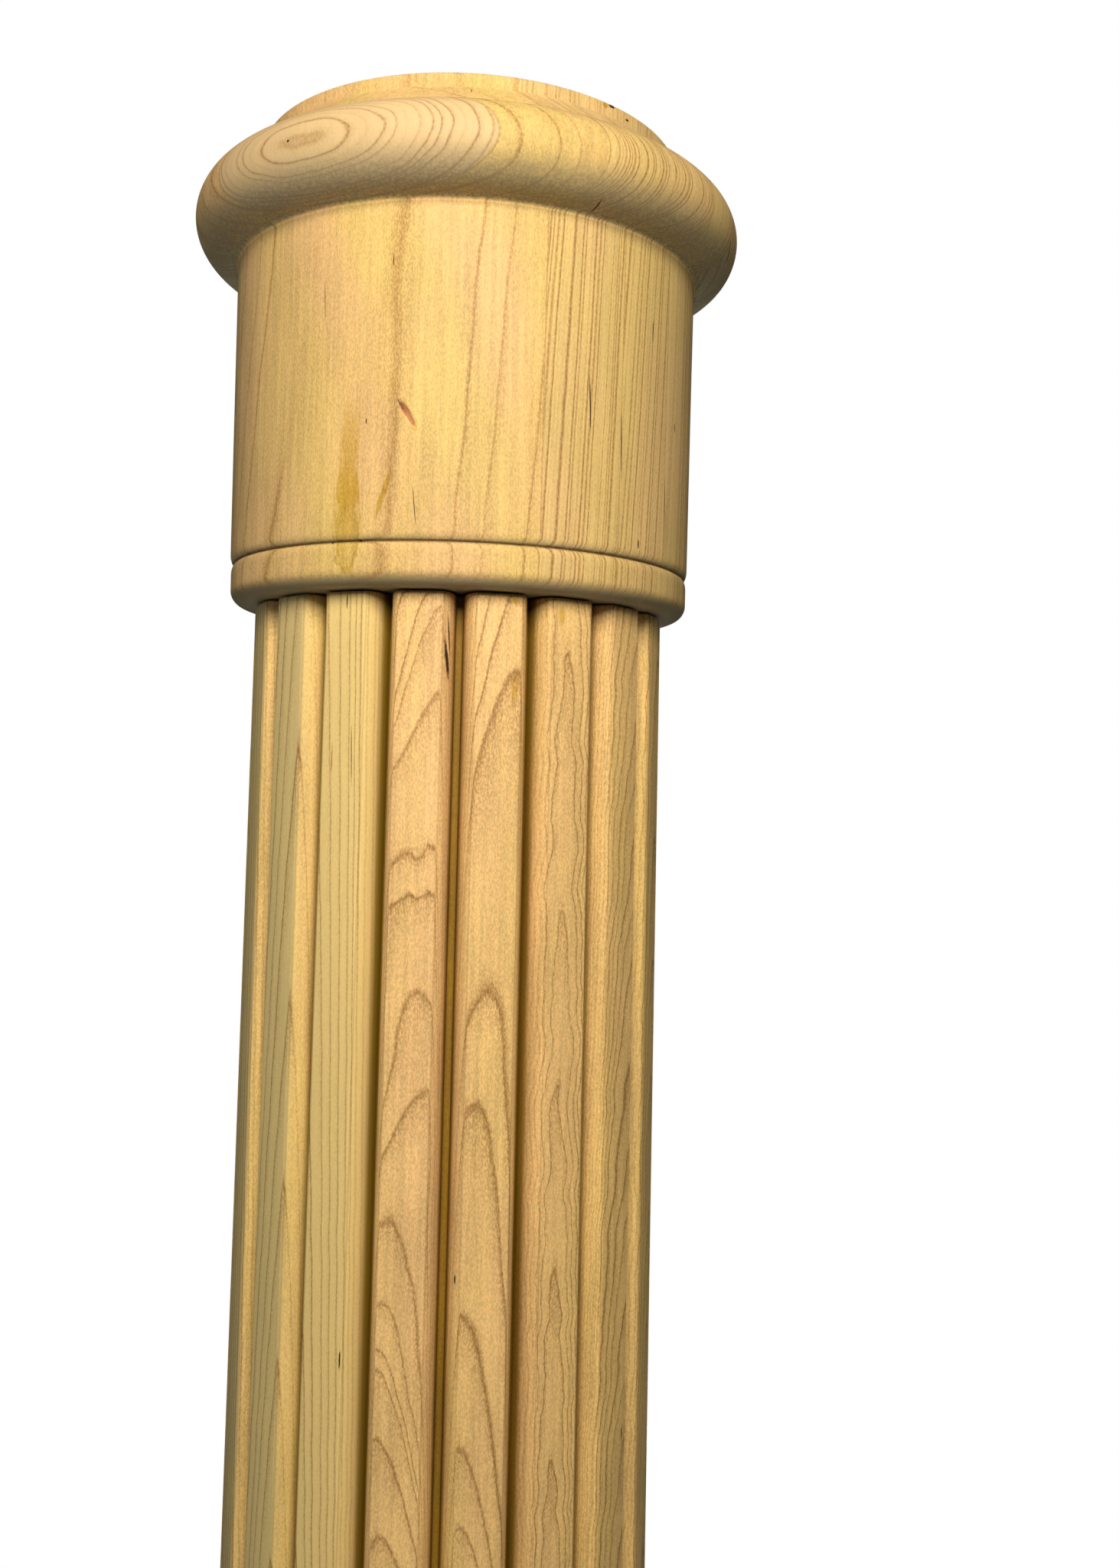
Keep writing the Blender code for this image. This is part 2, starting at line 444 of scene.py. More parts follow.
def ring_lines(wood, rings, line_share, glow_share, other_side=4.0, least=0.5):
    """Darkness from 0 to 1 of the thin late line of each ring, and the soft tone on its one side.

    The shares are widths as parts of a ring. The tone is narrower on the other side by the factor other_side.
    least is how dark the faintest ring is.
    """
    number = wood.math("FLOOR", wood.plus(rings, 0.5))
    across = wood.minus(rings, number)
    line = wood.minus(1.0, wood.math("MINIMUM", wood.over(wood.size(across), line_share), 1.0))
    inside = wood.math("MAXIMUM", across, wood.times(across, -other_side))
    soft = wood.minus(1.0, wood.math("MINIMUM", wood.over(inside, glow_share), 1.0))
    strength = wood.ramp(wood.chance(number), 0.0, 1.0, least, 1.0)
    sharp = wood.times(line, strength)
    glow = wood.times(wood.math("POWER", soft, GLOW_FALL), strength)
    return sharp, glow


def uneven(wood, rings, amount):
    """The same rings with wide years and narrow years, by up to amount rings."""
    years = wood.noise(wood.join(rings, 0.5, 0.5), (3.0, 3.0, 3.0), 1.0)
    return wood.plus(rings, wood.math("MULTIPLY_ADD", years, 2 * amount, -amount))


def ring_steps(places):
    """The steps of a bent line that gives ring number 0 at the first place, 1 at the second and so on."""
    return [(place, float(number)) for number, place in enumerate(places)]


print("ring line colour", [round(share, 3) for share in RING_BROWN[:3]])

# %% [markdown]
# Between the rings the wood is not even. Fibres run up the post and catch the light as fine pale and dark
# streaks, pores show as short dark dashes, and the tone drifts from yellow to pinkish tan over a few
# centimetres. Faces turned downwards, as under the ring, get a painted shade in grey that looks rough, and
# faces turned up get a little grey end-grain dust.

# %% Wood
STREAK_SIZE = (1.3, 1.3, 42.0)
FIBRE_SIZE = (0.24, 0.24, 5.0)
SPECKLE_SIZE = (0.36, 0.36, 0.8)
CLOUD_SIZE = (11.0, 11.0, 30.0)
PORE_SIZE = (0.7, 0.7, 0.7)
WOOD_GLOSS = 0.22
BUMP_STRENGTH = 0.6
BUMP_HEIGHT = 0.08 * MM
SPLIT_HEIGHT = -3.0
DUST_HEIGHT = 0.9


def plain_wood(wood, tint_drift):
    """The ground colour of bare sanded wood. tint_drift goes from 0, yellow, to 1, pinkish."""
    ground = wood.blend(tint_drift, WOOD_LIGHT, WOOD_PINK)
    streaks = wood.noise(wood.place, STREAK_SIZE, 2.0)
    fibres = wood.noise(wood.place, FIBRE_SIZE, 1.0)
    speckle = wood.noise(wood.place, SPECKLE_SIZE, 1.0)
    clouds = wood.noise(wood.place, CLOUD_SIZE, 1.0)
    light = wood.ramp(streaks, 0.25, 0.75, 0.90, 1.08)
    light = wood.plus(light, wood.ramp(fibres, 0.3, 0.7, -0.04, 0.04))
    light = wood.plus(light, wood.ramp(speckle, 0.3, 0.7, -0.14, 0.12))
    light = wood.plus(light, wood.ramp(clouds, 0.3, 0.7, -0.07, 0.04))
    return wood.shade(ground, light), fibres, speckle


def underside_shade_and_dust(wood):
    """1 for painted shade where the surface faces down, 0 on an upright wall, 0.2 for dust on faces turned
    up.
    """
    normal = wood.tree.nodes.new("ShaderNodeTexCoord").outputs["Normal"]
    rise = wood.split(normal)[2]
    return wood.plus(wood.ramp(rise, -0.90, -0.10, 1.0, 0.0), wood.ramp(rise, 0.55, 1.0, 0.0, 0.2))


print("fibres", FIBRE_SIZE[0], "mm wide and", FIBRE_SIZE[2], "mm long")

# %% [markdown]
# The last coats go on one after another: first the rings, then painted shade on faces turned downwards
# with a little dust on faces turned up, then stain, bark and splits, with the painted shade in the quirk
# among them. A bump lets fibres and the pores on those faces catch the light and sinks the splits.

# %% Finish
def finish_wood(wood, ground, lines, glow, fibres, speckle, amber=0.0, red=0.0, dark=0.0):
    """Puts lines, painted underside shade with dust, and marks over the ground colour and sets the surface.
    """
    mottled = wood.times(glow, wood.ramp(speckle, 0.3, 0.7, 0.62, 0.16))
    toned = wood.blend(mottled, ground, RING_BROWN)
    lined = wood.blend(wood.times(lines, wood.ramp(speckle, 0.3, 0.7, 0.9, 0.6)), toned, RING_BROWN)
    pores = wood.noise(wood.place, PORE_SIZE, 2.0)
    # Painted shade in grey on faces turned downwards, and a little dust on faces turned up.
    shade_and_dust = wood.times(underside_shade_and_dust(wood), wood.ramp(pores, 0.3, 0.7, 0.45, 0.9))
    greyed = wood.blend(shade_and_dust, lined, SHADE_AND_DUST_GREY)
    marked = wood.blend(amber, greyed, WOOD_AMBER, "MULTIPLY")
    marked = wood.blend(red, marked, BARK_RED)
    # Dark brown for splits, cracks and specks, and for the painted shade in the quirk.
    marked = wood.blend(dark, marked, SPLIT_AND_SHADE_BROWN)
    wood.feed(wood.shader.inputs["Base Color"], marked)
    wood.feed(wood.shader.inputs["Roughness"], wood.ramp(fibres, 0.2, 0.8, 0.52, 0.68))
    wood.shader.inputs["Specular IOR Level"].default_value = WOOD_GLOSS
    bump = wood.tree.nodes.new("ShaderNodeBump")
    bump.inputs["Strength"].default_value = BUMP_STRENGTH
    bump.inputs["Distance"].default_value = BUMP_HEIGHT
    rough = wood.math("MULTIPLY_ADD", shade_and_dust, wood.times(pores, DUST_HEIGHT), fibres)
    wood.feed(bump.inputs["Height"], wood.math("MULTIPLY_ADD", dark, SPLIT_HEIGHT, rough))
    wood.feed(wood.shader.inputs["Normal"], bump.outputs[0])
    print(wood.material.name, len(wood.tree.nodes), "nodes")
    return wood.material

# %% [markdown]
# The capital was turned from a block glued up from flat boards. The joints are parallel planes that face
# a little to the left of the viewer. The outermost board was cut away except where the big ring bulges
# out, and there its rings show as nested ovals. The next board has wide rings, and the ones behind it
# narrow rings, which is why the right side of the drum is full of fine upright lines.
#
# So the rings are numbered in three ways. In the two boards in front a bent line puts each ring where it
# was seen. In the others the rings are tubes round a pith that each board has at its own place.

# %% Boards of the capital
CAPITAL_FOOT = capital_low.z / MM
BOARD_FACING = math.radians(-26.3)
BOARD_THICKNESS = 18.5
BOARD_STRAY = [(45.0, 160.0, 0.9), (9.0, 34.0, 0.22), (1.6, 5.0, 0.05)]
FRONT_JOINT = 65.0
RING_HEIGHT = 105.14
RING_REACH = 75.99
OVAL_FACING = math.radians(-31.5)
OVAL_RISE = math.radians(3.0)
OVAL_STRAY = [(20.0, 15.0, 0.8), (7.0, 6.0, 0.3)]
OVAL_DEPTHS = [-1.5, 0.12, 1.26, 2.10, 3.05, 3.89, 4.88, 5.99, 7.23, 8.10, 9.34, 10.72, 12.33, 14.2, 16.0]
WIDE_FACING = math.radians(-23.25)
WIDE_LEANS = [(-20.0, -0.14), (92.0, 0.0), (108.0, -0.04), (127.0, -0.05)]
WIDE_STRAY = [(40.0, 26.0, 0.5), (40.0, 9.0, 0.16), (14.0, 3.0, 0.06)]
WIDE_RING_PLACES = [-80.0, -73.0, -63.15, -57.27, -53.7, -47.1, -42.0, -36.0]
# One row for each board: how far aside and how far out its pith lies, its rings' width and how much they lean
BOARDS = [
    (40.0, -60.0, 2.2, 0.0), (40.0, -60.0, 2.2, 0.0), (10.0, -190.0, 0.68, 0.03), (-40.0, -150.0, 0.8, 0.04),
    (70.0, 10.0, 1.9, -0.03), (-60.0, 60.0, 1.4, 0.02), (15.0, 80.0, 1.7, 0.04), (30.0, -10.0, 2.4, 0.03),
    (0.0, 90.0, 1.5, 0.02),
]
YEAR_SPREAD = 1.3


def outward(azimuth, rise=0.0):
    """The direction that an azimuth, from the front and to the right, points to."""
    flat = math.cos(rise)
    return (math.sin(azimuth) * flat, -math.cos(azimuth) * flat, math.sin(rise))


def oval_rings(wood, stray):
    """Ring numbers in the outermost board, counted from where the big ring reaches furthest into it."""
    facing = wood.vector("DOT_PRODUCT", wood.place, outward(OVAL_FACING, OVAL_RISE))
    facing = wood.minus(facing, (CAPITAL_FOOT + RING_HEIGHT) * math.sin(OVAL_RISE))
    depth = wood.minus(RING_REACH, facing)
    both = wood.math("MULTIPLY_ADD", stray, 0.35, wander(wood, OVAL_STRAY))
    return wood.curve(wood.plus(both, depth), ring_steps(OVAL_DEPTHS))


def wide_rings(wood, up, stray):
    """Ring numbers in the board behind it, and how far to the side a point lies there."""
    aside = wood.vector("DOT_PRODUCT", wood.place, outward(WIDE_FACING + math.pi / 2))
    aside = wood.math("MINIMUM", wood.times(aside, 2.0), aside)
    out = wood.vector("DOT_PRODUCT", wood.place, outward(WIDE_FACING))
    out = wood.math("MULTIPLY_ADD", aside, wood.curve(up, WIDE_LEANS), out)
    both = wood.math("MULTIPLY_ADD", stray, 0.5, wander(wood, WIDE_STRAY))
    depth = wood.times(wood.plus(both, out), -1.0)
    return wood.curve(depth, ring_steps(WIDE_RING_PLACES)), aside


def narrow_rings(wood, number, up, depth, side, stray):
    """Ring numbers in all boards further back, where the rings are tubes round each board's pith."""
    rows = [(aside, out, width * 100, lean * 1000) for aside, out, width, lean in BOARDS]
    values = wood.per_board(wood.plus(number, 1.0), len(BOARDS), -250, 250, rows)
    pith_side, pith_depth, width, slope = values
    across = wood.minus(side, pith_side)
    through = wood.minus(depth, pith_depth)
    distance = wood.vector("LENGTH", wood.join(across, through, 0.0))
    lean = wood.times(up, wood.over(slope, 1000.0))
    distance = wood.plus(wood.plus(distance, lean), stray)
    return uneven(wood, wood.over(distance, wood.over(width, 100.0)), YEAR_SPREAD)


print(len(BOARDS), "boards of", BOARD_THICKNESS, "mm")

# %% [markdown]
# The lines differ between the boards too. They are thin and crisp where the cut meets the rings squarely,
# and broad and soft where it runs along them. They fade towards the left of the drum, and where the front
# board's rings lie flat along its face. A fine brown line marks each glue joint.

# %% Lines on the capital
OVAL_STRENGTH = 0.8
BOARD_NUMBERS_APART = 40.0
SIDE_WITHOUT_LINES = -30.0
SIDE_ALONG_RINGS = 11.0
PLATE_FADE = (117.0, 123.0, 1.0, 0.5)
JOINT_STRENGTH = 0.55


def by_board(wood, number, oval, wide, narrow):
    """Picks one of three values by the kind of the board."""
    is_wide = wood.math("LESS_THAN", wood.size(number), 0.5)
    is_oval = wood.math("LESS_THAN", number, -0.5)
    return wood.choose(is_oval, wood.choose(is_wide, narrow, wide), oval)


def capital_lines(wood, number, up, depth, side):
    """The thin dark line and the soft tone of each ring."""
    stray = wander(wood, BOARD_STRAY)
    wide, wide_side = wide_rings(wood, up, stray)
    narrow = narrow_rings(wood, number, up, depth, side, stray)
    rings = by_board(wood, number, oval_rings(wood, stray), wide, narrow)
    line_share = by_board(wood, number, 0.14, 0.05, 0.36)
    glow_share = by_board(wood, number, 0.55, 0.2, 0.6)
    least = by_board(wood, number, 0.12, 0.6, 0.03)
    numbered = wood.math("MULTIPLY_ADD", number, BOARD_NUMBERS_APART, rings)
    sharp, glow = ring_lines(wood, numbered, line_share, glow_share, 2.0, least)
    faint = wood.ramp(wood.size(wood.plus(wide_side, -SIDE_WITHOUT_LINES)), 14.0, 24.0, 0.08, 0.72)
    along = wood.ramp(wood.size(wood.minus(wide_side, SIDE_ALONG_RINGS)), 5.0, 18.0, 0.8, 1.0)
    faint = by_board(wood, number, OVAL_STRENGTH, wood.times(faint, along), 1.0)
    faint = wood.times(faint, wood.ramp(up, *PLATE_FADE))
    joint_place = wood.over(wood.minus(depth, FRONT_JOINT), BOARD_THICKNESS)
    joint_away = wood.size(wood.minus(joint_place, wood.math("ROUND", joint_place)))
    joint = wood.ramp(joint_away, 0.002, 0.016, JOINT_STRENGTH, 0.0)
    return wood.math("MAXIMUM", wood.times(sharp, faint), joint), wood.times(glow, faint)


print("the lines fade over the plate from", PLATE_FADE[0], "to", PLATE_FADE[1], "mm up")

# %% [markdown]
# Real wood has a history. An amber stain ran down the left of the drum and left a darker line round its
# lower end. A reddish pocket of bark sits near the middle. Hair cracks and dark specks lie scattered over
# the drum and the ring, and a dark band of painted shade fills the quirk above the bead. Every mark is
# (azimuth, radius, height, half width, half length, lean), in degrees and millimetres.

# %% Marks on the capital
DRUM_RADIUS = 64.3
DRUM_END = 94.0
BEAD_HEIGHT = 10.8
CAPITAL_CRACKS = [
    (28.8, 64.3, 47.4, 0.24, 9.0, -3.0), (38.1, 64.3, 38.5, 0.20, 12.0, -2.2),
    (60.3, 64.3, 48.5, 0.30, 1.8, 0.0), (55.5, 64.3, 28.0, 0.22, 8.5, -3.0),
    (44.7, 64.3, 14.8, 0.34, 1.4, 0.0), (48.2, 64.3, 70.5, 0.24, 4.0, 0.0),
    (-10.5, 64.3, 19.0, 0.13, 6.0, -6.0), (-21.9, 64.3, 39.8, 0.20, 0.9, 0.0),
    (-16.5, 64.3, 78.5, 0.15, 1.8, 0.0), (-33.2, 64.3, 70.5, 0.12, 6.0, -3.0),
    (26.9, 68.0, 94.6, 0.32, 2.2, 0.0), (-35.7, 76.0, 105.8, 0.50, 0.4, 0.0),
    (72.5, 74.5, 99.5, 0.30, 6.0, -62.0), (-30.1, 63.1, 10.7, 0.50, 0.4, 0.0),
    (-22.9, 63.1, 10.9, 0.45, 0.4, 0.0), (37.5, 58.1, 126.3, 1.5, 0.6, 0.0),
    (43.2, 58.1, 124.7, 0.8, 0.4, 0.0), (-0.5, 60.1, 121.4, 0.14, 0.9, 0.0),
]
STAIN_BODY = [
    (-26.1, 64.3, 22.5, 4.4, 10.0, 0.0), (-25.9, 64.3, 33.0, 3.2, 15.0, 0.0),
    (-26.2, 64.3, 14.5, 4.8, 9.0, 0.0), (-17.6, 64.3, 22.0, 0.9, 8.0, 18.0),
    (-11.0, 64.3, 38.2, 0.7, 1.6, -33.0), (-23.5, 64.3, 42.0, 0.4, 9.0, 0.0),
    (35.4, 58.2, 125.9, 1.4, 1.0, 0.0), (-26.6, 64.1, 6.4, 3.0, 1.7, 0.0),
]
STAIN_STRENGTHS = [(2, 0.4), (10, 0.55), (17, 0.8), (22, 1.0), (28, 0.85), (45, 0.4), (130, 1.0)]
STAIN_RIMS = [(-26.0, 64.3, 11.5, 3.5, 9.5, 0.0), (-26.6, 64.1, 6.4, 3.2, 1.9, 0.0)]
STAIN_GRAIN = (0.8, 0.8, 7.0)
BARK_POCKET = [(-13.1, 64.3, 42.3, 1.0, 3.0, -33.0), (-11.9, 64.3, 40.2, 0.7, 2.6, -33.0)]
POCKET_RIM = [(-13.9, 64.3, 43.3, 0.6, 3.4, -33.0)]


def on_capital(marks):
    """The same marks with heights from the floor instead of from the capital's underside."""
    return [(azimuth, radius, CAPITAL_FOOT + height, *rest) for azimuth, radius, height, *rest in marks]


def capital_stain(wood, up):
    """How strong the amber is, and the line round the stain."""
    soaked = wood.noise(wood.place, STAIN_GRAIN, 2.0)
    body = wood.times(wood.spots(on_capital(STAIN_BODY)), wood.ramp(soaked, 0.3, 0.7, 0.5, 1.5))
    rim = wood.times(wood.spots(on_capital(STAIN_RIMS)), wood.ramp(soaked, 0.3, 0.7, 0.7, 1.3))
    rim_line = wood.times(wood.ramp(rim, 0.0, 0.2), wood.ramp(rim, 0.2, 0.55, 1.0, 0.0))
    amber = wood.times(wood.ramp(body, 0.03, 0.45), wood.curve(up, STAIN_STRENGTHS))
    return wood.math("MAXIMUM", amber, wood.times(rim_line, 0.7)), rim_line


def capital_dark(wood, up, speckle):
    """Cracks and specks, painted shade in the quirk and the dark edge of the bark pocket."""
    dark = wood.ragged(on_capital(CAPITAL_CRACKS), speckle, 0.5, 0.35, 0.75)
    quirk_away = wood.size(wood.minus(up, BEAD_HEIGHT))
    # Painted shade in the quirk above the bead, where the drum's lip hides the light.
    quirk_shade = wood.ramp(wood.math("MULTIPLY_ADD", speckle, 0.6, quirk_away), 0.30, 0.95, 0.5, 0.0)
    pocket_rim = wood.ragged(on_capital(POCKET_RIM), speckle, 0.9, 0.75, 1.15, 0.7)
    return wood.math("MAXIMUM", wood.math("MAXIMUM", dark, quirk_shade), pocket_rim)


print(len(CAPITAL_CRACKS), "cracks and specks,", len(STAIN_BODY), "stained spots")

# %% [markdown]
# The ground colour drifts over the drum and turns a little pinker to the left. The oval board has a tone
# of its own and the boards behind are yellower. Two changes of light are painted in: painted shade makes
# the bead's underside darker, and a painted highlight makes the small fillet at the drum's top pale.

# %% Capital wood
DRIFT_SIZE = (20.0, 20.0, 46.0)
OVAL_BOARD_TONE = 0.75
BACK_BOARD_TONE = 0.35
BEAD_SHADE = (1.0, 5.2, 0.48, 1.0)
FILLET_HIGHLIGHT = (0.3, 0.9, 1.45, 0.91)
FILLET_MIDDLE = DRUM_END - 0.5


def capital_wood():
    wood = Wood("capital_wood")
    up = wood.minus(wood.split(wood.place)[2], CAPITAL_FOOT)
    depth = wood.vector("DOT_PRODUCT", wood.place, outward(BOARD_FACING))
    side = wood.vector("DOT_PRODUCT", wood.place, outward(BOARD_FACING + math.pi / 2))
    number = wood.math("FLOOR", wood.over(wood.minus(FRONT_JOINT, depth), BOARD_THICKNESS))
    number = wood.math("MAXIMUM", number, -1.0)
    lines, glow = capital_lines(wood, number, up, depth, side)

    drift = wood.ramp(wood.noise(wood.place, DRIFT_SIZE, 1.0), 0.35, 0.65, 0.0, 0.75)
    tint = wood.math("MULTIPLY_ADD", wood.chance(wood.plus(number, 21.0)), 0.3, drift)
    tint = wood.plus(tint, wood.ramp(side, -50.0, 0.0, 0.6, 0.0))
    ground, fibres, speckle = plain_wood(wood, wood.math("MINIMUM", tint, 1.0))
    is_oval = wood.math("LESS_THAN", number, -0.5)
    ground = wood.blend(wood.times(is_oval, OVAL_BOARD_TONE), ground, WOOD_OVAL)
    ground = wood.blend(wood.ramp(number, 0.0, 1.0, 0.0, BACK_BOARD_TONE), ground, WOOD_YELLOW)
    # Painted shade on the bead's underside.
    ground = wood.shade(ground, wood.ramp(wood.math("MULTIPLY_ADD", fibres, 1.2, up), *BEAD_SHADE))
    # Painted highlight on the small fillet at the drum's top.
    ground = wood.shade(ground, wood.ramp(wood.size(wood.minus(up, FILLET_MIDDLE)), *FILLET_HIGHLIGHT))

    amber, rim_line = capital_stain(wood, up)
    glow = wood.math("MAXIMUM", glow, wood.times(rim_line, 0.32))
    red = wood.ragged(on_capital(BARK_POCKET), speckle, 0.5, 0.3, 0.6, 0.8)
    dark = capital_dark(wood, up, speckle)
    return finish_wood(wood, ground, lines, glow, fibres, speckle, amber, red, dark)


# The pale fillet is a painted highlight.
print("the rubbed fillet is", FILLET_MIDDLE, "mm above the capital's underside")

# %% [markdown]
# The shaft is glued up from staves, each as wide as one reed, with the joints hidden in the grooves. So
# every reed has a tone and a figure of its own. In a flat-sawn stave the rings lie almost along its face,
# and each one comes out as an arch. It is highest on the crown and its legs run far down the shoulders,
# where the cut goes deeper.
#
# The pattern is built the same way. Each point of a stave gets the height at which its ring reaches the
# crown, and a ring line is drawn wherever that height meets one of the ring heights. For the two reeds in
# front the ring heights and the place of the arches' tops follow the photograph. The other reeds have
# regular rings and only differ in where their arches stand, how pointed they are and how far apart.

# %% Staves of the shaft
REED_COUNT = 18
SHAFT_TOP_RADIUS = 57.15
SHAFT_FOOT_RADIUS = 67.2
SHAFT_TOP = shaft_high.z / MM
SHAFT_LENGTH = (shaft_high.z - shaft_low.z) / MM
TAPER = (SHAFT_FOOT_RADIUS - SHAFT_TOP_RADIUS) / SHAFT_LENGTH
LEFT_STAVE = -1.0
RIGHT_STAVE = 0.0
# For each stave that shows: how far across its arches' tops stand, how pointed, how far apart and how pinkish
VISIBLE_STAVES = {
    -4: (-13.0, 1.0, 60.0, 0.3), -3: (11.0, 0.8, 60.0, 0.2), -2: (-12.0, 1.2, 66.0, 0.0),
    -1: (0.0, 0.16, 22.0, 0.95), 0: (0.0, 0.40, 24.0, 0.65), 1: (-1.5, 3.4, 58.0, 0.65),
    2: (9.0, 0.34, 20.0, 0.5), 3: (4.0, 1.0, 44.0, 0.3),
}


def stave_figures():
    """The same four values for every stave. The back ones are drawn by a seeded dice."""
    dice = np.random.default_rng(12)
    figures = []
    for number in range(-REED_COUNT // 2, REED_COUNT // 2):
        guess = (dice.uniform(-9, 9), dice.uniform(0.15, 1.2), dice.uniform(17, 30), dice.uniform(0.0, 1.0))
        figures.append(VISIBLE_STAVES.get(number, guess))
    return [(top, point * 10, distance, pink * 10) for top, point, distance, pink in figures]


def stave_place(wood):
    """The number of the stave, how far across it, how deep under its crown and how far down a point lies."""
    x, y, z = wood.split(wood.place)
    down = wood.minus(SHAFT_TOP, z)
    crown = wood.math("MULTIPLY_ADD", down, TAPER, SHAFT_TOP_RADIUS)
    depth = wood.minus(crown, wood.vector("LENGTH", wood.join(x, y, 0.0)))
    turns = wood.times(wood.math("ARCTAN2", x, wood.times(y, -1.0)), REED_COUNT / math.tau)
    number = wood.math("FLOOR", turns)
    share = wood.minus(wood.minus(turns, number), 0.5)
    across = wood.times(wood.times(share, math.tau / REED_COUNT), crown)
    return number, across, depth, down


def is_stave(wood, number, wanted):
    return wood.math("COMPARE", number, wanted, 0.1)


def by_stave(wood, number, others, left, right):
    """Picks one of three values, because the two front staves have their own."""
    value = wood.choose(is_stave(wood, number, LEFT_STAVE), others, left)
    return wood.choose(is_stave(wood, number, RIGHT_STAVE), value, right)


print(REED_COUNT, "staves,", len(VISIBLE_STAVES), "of them seen from the front")

# %% [markdown]
# The tops of the arches do not stand quite above each other, because a tree is never straight. They sway
# along a soft noise. On the two front staves a bent line leads them, with (distance from the shaft's top,
# place across).

# %% Arches on the staves
LEFT_TOPS = [
    (-20, 6.7), (4, 6.7), (26, 6.4), (65, 1.6), (99.5, 2.2), (123, 4.7), (157, -3.6), (177, -4.2),
    (193, -5.6), (211, -5.1), (260, 0.0),
]
RIGHT_TOPS = [
    (-20, 5.5), (-2, 5.5), (19, 4.3), (99, -1.0), (125, -3.8), (179, -5.7), (212, -5.7), (260, -2.0),
]
LEFT_POINTS = [(-20, 0.18), (40, 0.22), (60, 0.06), (80, 0.06), (98, 0.28), (260, 0.28)]
LEFT_RINGS = [
    -150, -120, -90, -65, -45, -25, -4, 4.4, 26.4, 64.8, 74.9, 99.5, 123.1, 156.6, 176.7, 188.7, 193.4,
    210.6, 233, 255,
]
RIGHT_RINGS = [-150, -125, -100, -75, -50, -26, -2.5, 18.7, 99.1, 125.4, 178.8, 211.7, 231.0, 255]
DOUBLE_ARCH = (-8.4, 57.8, SHAFT_TOP - 69.0, 2.6, 12.0, 0.0)
DOUBLE_ARCH_DENT = 1.4
STAVE_STRAY = [(10.0, 60.0, 3.0), (3.4, 6.0, 1.0), (0.6, 1.1, 0.5)]
SWAY_SIZE = (1.0, 1.0, 18.0)
FRONT_SWAY = 2.0
LOOSE_SWAY = (8.0, 11.0, 8.0, 1.2)
SHOULDER_DROP = 20.0
FIRST_RING = 0.06
STAVE_NUMBERS_APART = 200.0


def is_front(wood, number):
    return wood.plus(is_stave(wood, number, LEFT_STAVE), is_stave(wood, number, RIGHT_STAVE))


def arch_tops(wood, number, down, top):
    """How far across the top of the arch stands at this height."""
    left = wood.curve(down, LEFT_TOPS, soft=True)
    right = wood.curve(down, RIGHT_TOPS, soft=True)
    top = by_stave(wood, number, top, left, right)
    own_height = wood.math("MULTIPLY_ADD", number, 90.0, wood.split(wood.place)[2])
    sway = wood.noise(wood.join(0.0, 0.0, own_height), SWAY_SIZE, 2.0)
    looseness = wood.ramp(wood.size(top), *LOOSE_SWAY)
    most = wood.choose(is_front(wood, number), looseness, FRONT_SWAY)
    return wood.plus(top, wood.times(wood.minus(sway, 0.5), most))


def arch_rings(wood, number, aside, depth, down, point, distance):
    """Ring numbers, from the height at which the ring through each point reaches the crown."""
    arch = wood.times(wood.times(aside, aside), point)
    height = wood.minus(wood.plus(down, wander(wood, STAVE_STRAY)), arch)
    height = wood.minus(height, wood.times(depth, SHOULDER_DROP))
    dent = wood.ramp(wood.spots([DOUBLE_ARCH], 30.0), 0.0, 0.6, 0.0, DOUBLE_ARCH_DENT)
    height = wood.minus(height, dent)
    regular = uneven(wood, wood.plus(wood.over(height, distance), FIRST_RING), YEAR_SPREAD)
    left = wood.curve(height, ring_steps(LEFT_RINGS))
    right = wood.curve(height, ring_steps(RIGHT_RINGS))
    return by_stave(wood, number, regular, left, right)


def shaft_lines(wood, number, across, depth, down, figure):
    """The thin dark line and the soft tone of each ring. They are weaker on the shoulders."""
    top, point, distance = figure[:3]
    point = wood.over(point, 10.0)
    point = wood.choose(is_stave(wood, number, LEFT_STAVE), point, wood.curve(down, LEFT_POINTS))
    aside = wood.minus(across, arch_tops(wood, number, down, top))
    rings = arch_rings(wood, number, aside, depth, down, point, distance)
    steep = wood.times(wood.size(aside), wood.times(point, 2.0))
    steep = wood.plus(steep, wood.ramp(depth, 0.1, 1.2, 0.0, SHOULDER_DROP * 0.4))
    line_share = wood.over(wood.math("MULTIPLY_ADD", steep, 0.26, 1.05), distance)
    numbered = wood.math("MULTIPLY_ADD", number, STAVE_NUMBERS_APART, rings)
    least = wood.choose(is_front(wood, number), 0.6, 0.65)
    sharp, glow = ring_lines(wood, numbered, line_share, 0.5, 4.0, least)
    glow = wood.times(glow, wood.ramp(steep, 6.0, 24.0, 1.0, 0.65))
    on_shoulder = wood.ramp(depth, 0.2, 1.0, 1.0, 0.4)
    return wood.times(sharp, on_shoulder), wood.times(glow, on_shoulder)


print(len(LEFT_RINGS), "and", len(RIGHT_RINGS), "ring heights on the two front staves")

# %% [markdown]
# The grooves get browner with depth, which is painted shade together with some dirt, a thin line of painted
# shade runs along the edges of the crowns, and two staves on the left are a little greener. Under the
# capital the reeds' ends carry painted light, against the shadow of the bead. A dark split runs down the
# left front reed, and short ones lie scattered. The marks are written as on the capital.

